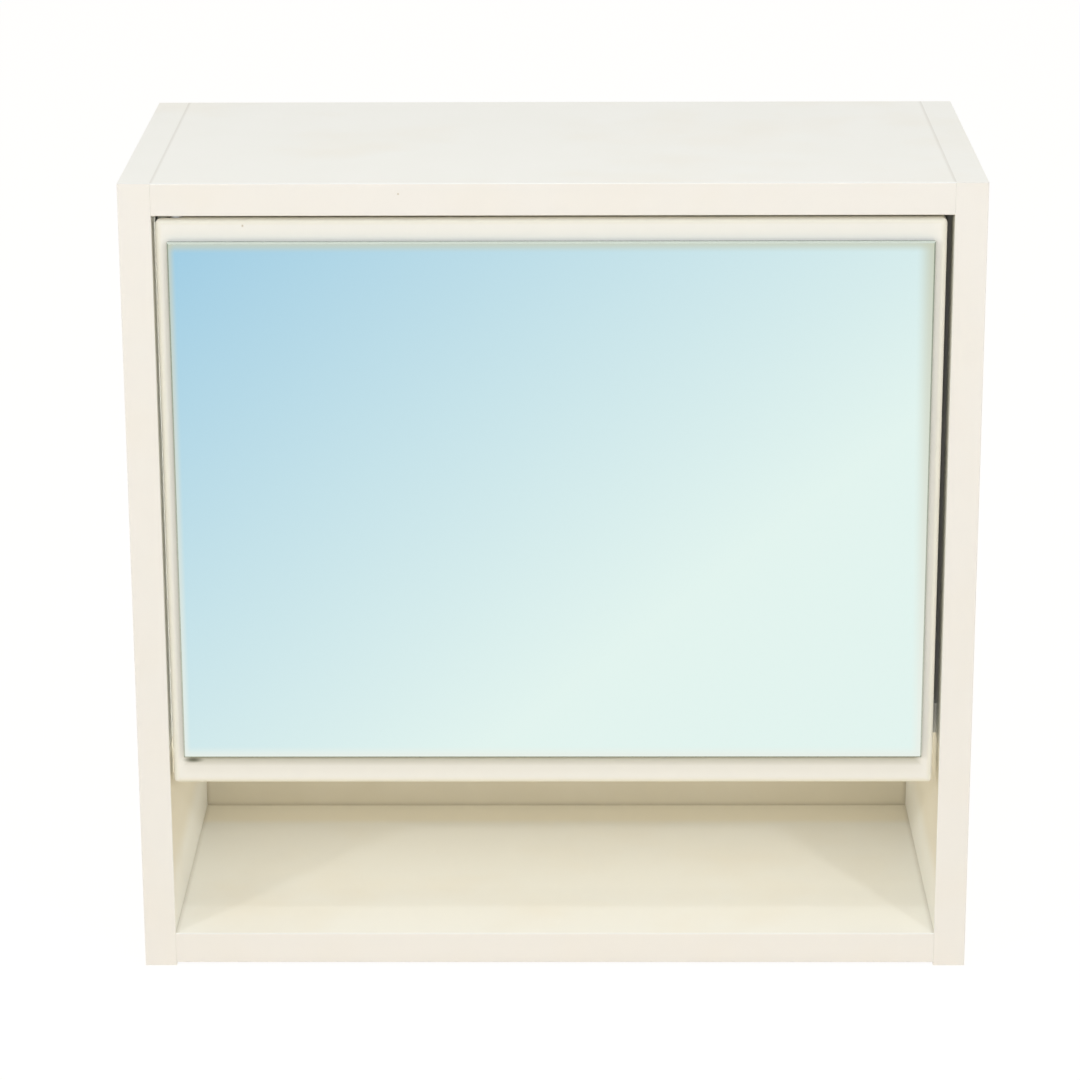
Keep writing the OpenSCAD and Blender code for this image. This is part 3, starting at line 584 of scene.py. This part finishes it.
def beech():
    """Turned beech dowel: pale pinkish brown, with short dark flecks along the grain."""
    material, tree, point = start_material("beech")
    stretched = add(tree, "ShaderNodeMapping", {"Vector": point, "Scale": (0.12, 1, 1)})
    flecks = mottled(tree, stretched, 0.5 * MM, span=(0.4, 0.7))
    return finish_material(material, {
        "Base Color": coats(tree, srgb("#D9B78A"), (flecks, srgb("#B98F62"))),
        "Roughness": 0.6,
        "IOR": 1.5,
    })


def moulded_plastic(name, code, roughness):
    """Injection-moulded plastic: an even colour, satin, with a fine spark-eroded texture."""
    material, tree, point = start_material(name)
    shares = (roughness - 0.05, roughness + 0.05)
    return finish_material(material, {
        "Base Color": srgb(code),
        "Roughness": mottled(tree, point, 0.5 * MM, shares=shares),
        "IOR": 1.5,
        "Normal": grained(tree, point, 0.5 * MM, 0.006 * MM),
    })


def sintered_ferrite():
    """Pressed and sintered ferrite magnet: dark grey, matt, slightly gritty."""
    material, tree, point = start_material("sintered_ferrite")
    grit = mottled(tree, point, 0.4 * MM, span=(0, 1), detail=3)
    return finish_material(material, {
        "Base Color": coats(tree, srgb("#2C2C2E"), (grit, srgb("#3E3E40"))),
        "Roughness": 0.75,
        "IOR": 1.8,
        "Normal": grained(tree, point, 0.4 * MM, 0.02 * MM, detail=3),
    })


def deselect():
    """Leaves object mode clean: nothing selected, nothing in edit mode."""
    if bpy.context.object and bpy.context.object.mode != "OBJECT":
        bpy.ops.object.mode_set(mode="OBJECT")
    bpy.ops.object.select_all(action="DESELECT")


def block(name, low, high):
    """A block of the size and place of the box from low to high, with its place in its mesh."""
    deselect()
    bpy.ops.mesh.primitive_cube_add(size=1, location=(low + high) / 2)
    made = bpy.context.object
    made.name = made.data.name = name
    made.scale = high - low
    bpy.ops.object.transform_apply(location=True, rotation=True, scale=True)
    return made


def select_facing(piece, direction):
    """Opens a piece in edit mode and selects only the faces that face a direction."""
    deselect()
    bpy.context.view_layer.objects.active = piece
    piece.select_set(True)
    bpy.ops.object.mode_set(mode="EDIT")
    bpy.ops.mesh.select_mode(type="FACE")
    bpy.ops.mesh.select_all(action="DESELECT")
    for face in bmesh.from_edit_mesh(piece.data).faces:
        face.select_set(face.normal.dot(direction) > 0.999)
    bmesh.update_edit_mesh(piece.data)


def finish_piece(piece, body, nodes, materials):
    """Puts a finished piece on its body, in place of its CAD nodes, with its materials."""
    deselect()
    for material in materials:
        piece.data.materials.append(material)
    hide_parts(*nodes)
    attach(piece, body)


def dress(material, *nodes):
    """Gives CAD nodes a material."""
    for name in nodes:
        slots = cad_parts[name].data.materials
        slots.clear()
        slots.append(material)


def soften(width, *nodes):
    """Takes the sharpness off the edges of CAD nodes with a narrow bevel."""
    for name in nodes:
        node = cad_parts[name]
        weld = node.modifiers.new("weld", "WELD")
        weld.merge_threshold = 0.001 * MM
        bevel = node.modifiers.new("soft_edges", "BEVEL")
        bevel.width = width
        bevel.segments = 2
        bevel.limit_method = "ANGLE"
        bevel.angle_limit = math.radians(60)


class CABINET_OT_boards(Operator):
    """Finish the carcass boards, their edging strips and the back panel"""

    bl_idname = "cabinet.boards"
    bl_label = "Boards and edging"

    def execute(self, context):
        settings = context.scene.cabinet.boards
        sides = ("side_left", "side_right")
        lying = ("top_board", "floor_board", "shelf_board")
        on_sides = foil_faced_chipboard(settings, "foil_on_sides", shaded=(0, 0.45))
        on_bottom = foil_faced_chipboard(settings, "foil_on_bottom", back_shaded=True, shaded=(0.5, 0))
        on_rail = foil_faced_chipboard(settings, "foil_on_rail", raw_rear=False)
        dress(foil_faced_chipboard(settings), *lying)
        dress(on_sides, *sides)
        dress(on_bottom, "bottom_board")
        dress(on_rail, "hanging_rail")
        soften(settings.soft_edge, *sides, *lying, "bottom_board", "hanging_rail")
        dress(
            pvc_edging(settings), "edging_left", "edging_right", "edging_top", "edging_bottom",
            "edging_floor", "edging_shelf",
        )
        dress(coated_hardboard(settings), "back_panel")
        return {"FINISHED"}


class CABINET_OT_fittings(Operator):
    """Finish the cams, bolts, dowels, shelf pins, hinge and catch"""

    bl_idname = "cabinet.fittings"
    bl_label = "Fittings"

    def execute(self, context):
        dress(
            die_cast_zinc(), "cam_housings", "strike_plate", "catch_poles", "pivot_leaf_upper",
            "pivot_leaf_lower",
        )
        dress(
            nickel_plated_steel(), "cam_bolts", "shelf_pins", "pivot_pins", "leaf_screws",
            "catch_screws", "strike_screw",
        )
        dress(beech(), "dowels")
        dress(moulded_plastic("white_abs", "#ECECE6", 0.35), "catch_housing")
        dress(moulded_plastic("natural_nylon", "#E6E2D3", 0.45), "pivot_bushes")
        dress(moulded_plastic("grey_elastomer", "#8F8F8B", 0.6), "door_buffer")
        dress(moulded_plastic("foam_tape", "#5B605E", 0.8), "mirror_tapes")
        dress(sintered_ferrite(), "catch_magnet")
        return {"FINISHED"}


class CABINET_OT_door(Operator):
    """Finish the door panel"""

    bl_idname = "cabinet.door"
    bl_label = "Door"

    def execute(self, context):
        dress(sprayed_lacquer(context.scene.cabinet.boards), "door_panel")
        return {"FINISHED"}


class CABINET_OT_mirror(Operator):
    """Model the mirror: silvered glass with a ground arris, cut edges and painted back"""

    bl_idname = "cabinet.mirror"
    bl_label = "Mirror"

    def execute(self, context):
        settings = context.scene.cabinet.mirror
        low, high = GLASS_BOX
        glass = block("mirror", low, high)
        select_facing(glass, TO_FRONT)
        bpy.ops.mesh.bevel(offset=settings.arris, offset_type="OFFSET", segments=1, affect="EDGES")
        select_facing(glass, TO_WALL)
        bpy.ops.mesh.inset(thickness=settings.paint_inset, depth=0)
        bpy.ops.object.mode_set(mode="OBJECT")
        silver, edge = silvered_glass(settings), cut_glass_edge(settings)
        arris, paint = ground_glass_arris(settings), backing_paint()
        finish_piece(glass, "door", ["mirror_glass"], [silver, edge, arris, paint])
        silver_slot, edge_slot, arris_slot, paint_slot = range(4)
        middle, near = (low + high) / 2, 10 * MM
        # How far a face's normal points forwards, at least, for it to face the front, or slope
        squarely, aslant = 0.9, 0.1
        for face in glass.data.polygons:
            forwards = face.normal.dot(TO_FRONT)
            if forwards >= squarely:
                face.material_index = silver_slot
            # The arris along the top catches the light and looks like the cut edge
            elif forwards > aslant and face.normal.z < aslant:
                face.material_index = arris_slot
            elif (face.center - middle).length < near:
                face.material_index = paint_slot
            else:
                face.material_index = edge_slot
        return {"FINISHED"}


def seen_directly(tree, by_camera=1.0):
    """1 for what a mirror or glass sees, by_camera for what the camera sees, 0 for what only lights."""
    path = add(tree, "ShaderNodeLightPath").outputs
    rays = (path["Is Glossy Ray"], path["Is Transmission Ray"])
    reflected = add(tree, "ShaderNodeMath", rays, operation="MAXIMUM")
    sight = (path["Is Camera Ray"], by_camera, reflected)
    return add(tree, "ShaderNodeMath", sight, operation="MULTIPLY_ADD", use_clamp=True)


def make_floor(settings):
    """A plain white floor under the sides, which keeps a soft share of the shadow."""
    drop = 0.2 * MM
    deselect()
    bpy.ops.mesh.primitive_plane_add(size=settings.floor_size, location=(0, 0, CAD_BOX[0].z - drop))
    floor = bpy.context.object
    floor.name = "floor"
    bpy.ops.object.transform_apply(location=True)
    material = bpy.data.materials.new("white_paper_floor")
    tree = empty_tree(material)
    paper = add(tree, "ShaderNodeBsdfDiffuse", {"Color": settings.floor_paper})
    white = add(tree, "ShaderNodeEmission", {"Color": WHITE, "Strength": settings.floor_glow})
    share = seen_directly(tree, by_camera=1 - settings.floor_shade)
    mixed = add(tree, "ShaderNodeMixShader", (share, paper, white))
    add(tree, "ShaderNodeOutputMaterial", {"Surface": mixed})
    floor.data.materials.append(material)


def soft_lamp(name, place, back, power, width, height):
    """A rectangular area lamp at a place, with its back to a direction and its light away from it."""
    deselect()
    bpy.ops.object.light_add(type="AREA", location=place)
    lamp = bpy.context.object
    lamp.name = name
    lamp.data.energy = power
    lamp.data.shape = "RECTANGLE"
    lamp.data.size = width
    lamp.data.size_y = height
    lamp.rotation_euler = back.to_track_quat("Z", "Y").to_euler()
    lamp.visible_camera = False
    return lamp


def in_front(height, side=0.0):
    """The direction from the cabinet to a lamp in front, by its angles above the level and sideways."""
    level = math.cos(height)
    return Vector((level * math.sin(side), -level * math.cos(side), math.sin(height)))


def make_sky(settings):
    """Even white light from all round, which the camera and mirrors see as plain white."""
    world = bpy.data.worlds.new("studio")
    tree = empty_tree(world)
    shades = {0: seen_directly(tree), 2: settings.sky, 3: 1.0}
    strength = add(tree, "ShaderNodeMix", shades, data_type="FLOAT")
    sky = add(tree, "ShaderNodeBackground", {"Color": WHITE, "Strength": strength})
    add(tree, "ShaderNodeOutputWorld", {"Surface": sky})
    bpy.context.scene.world = world


def make_lamps(settings):
    """Small lamps left and right in front and overhead, and a large soft one overhead."""
    aim = (CAD_BOX[0] + CAD_BOX[1]) / 2
    left = in_front(settings.left_height, -settings.left_side)
    right = in_front(settings.right_height, settings.right_side)
    small = (settings.lamp_width, settings.lamp_height)
    large = (settings.soft_size, settings.soft_size)
    for name, towards, power, size in (
        ("left_key", left, settings.key_power, small),
        ("right_key", right, settings.key_power, small),
        ("top_light", in_front(settings.top_height), settings.top_power, small),
        ("soft_light", in_front(settings.soft_height), settings.soft_power, large),
    ):
        soft_lamp(name, aim + settings.lamp_distance * towards, towards, power, *size)


def make_fills(settings):
    """Weak fills under the ceiling of the open shelf, and faint glows behind the gaps of the door."""
    low, high = SHELF_BOX
    clear = 1 * MM
    ceiling = Vector(((low.x + high.x) / 2, (low.y + high.y) / 2, high.z - clear))
    wide, deep = high.x - low.x, high.y - low.y
    fills = [soft_lamp("shelf_light", ceiling, UP, settings.shelf_power, wide, deep)]
    for name, side in (("left_end", TO_LEFT), ("right_end", TO_RIGHT)):
        end = ceiling + side * (wide - settings.ends_width) / 2
        fills.append(soft_lamp(name, end, UP, settings.ends_power, settings.ends_width, deep))
    low, high = DOOR_BOX
    gap, middle, tall = low.x - SHELF_BOX[0].x, (low.z + high.z) / 2, high.z - low.z
    behind = Vector((low.x - gap / 2, high.y, middle))
    fills.append(soft_lamp("gap_light", behind, TO_WALL, settings.gap_power, gap / 2, tall))
    slit = Vector((SHELF_BOX[1].x - settings.slit_inset, high.y + settings.slit_setback, middle))
    fills.append(
        soft_lamp("slit_light", slit, TO_LEFT, settings.slit_power, settings.slit_width, tall)
    )
    for fill in fills:
        fill.visible_glossy = False


def make_camera(settings):
    """The photograph's camera: a long lens above the cabinet, looking down at its front."""
    deselect()
    bpy.ops.object.camera_add(location=settings.eye)
    camera = bpy.context.object
    camera.name = "camera"
    camera.data.lens = settings.lens
    camera.data.dof.use_dof = False
    turned = (
        Euler((0, 0, settings.yaw)).to_matrix()
        @ Euler((-settings.pitch, 0, 0)).to_matrix()
        @ Euler((0, settings.roll, 0)).to_matrix()
    )
    level = Euler((math.pi / 2, 0, 0)).to_matrix()
    camera.rotation_euler = (turned @ level).to_euler()
    bpy.context.scene.camera = camera


class CABINET_OT_stage(Operator):
    """Set up the floor, the light and the camera"""

    bl_idname = "cabinet.stage"
    bl_label = "Stage"

    def execute(self, context):
        settings = context.scene.cabinet.stage
        for make in (make_floor, make_sky, make_lamps, make_fills, make_camera):
            make(settings)
        context.scene.view_settings.view_transform = "Standard"
        return {"FINISHED"}


class CABINET_PT_panel(Panel):
    """Lists the steps that build the cabinet"""

    bl_label = "Medicine Cabinet"
    bl_idname = "CABINET_PT_panel"
    bl_space_type = "VIEW_3D"
    bl_region_type = "UI"
    bl_category = "Cabinet"

    def draw(self, context):
        for step in STEPS:
            self.layout.operator(step.bl_idname)


STEPS = (
    CABINET_OT_boards,
    CABINET_OT_fittings,
    CABINET_OT_door,
    CABINET_OT_mirror,
    CABINET_OT_stage,
)
CLASSES = (BoardSettings, MirrorSettings, StageSettings, CabinetSettings, *STEPS, CABINET_PT_panel)


def register():
    for cls in CLASSES:
        bpy.utils.register_class(cls)
    bpy.types.Scene.cabinet = PointerProperty(type=CabinetSettings)


def unregister():
    del bpy.types.Scene.cabinet
    for cls in reversed(CLASSES):
        bpy.utils.unregister_class(cls)


def main():
    register()
    bpy.ops.cabinet.boards()
    bpy.ops.cabinet.fittings()
    bpy.ops.cabinet.door()
    bpy.ops.cabinet.mirror()
    bpy.ops.cabinet.stage()


if __name__ == "__main__":
    main()
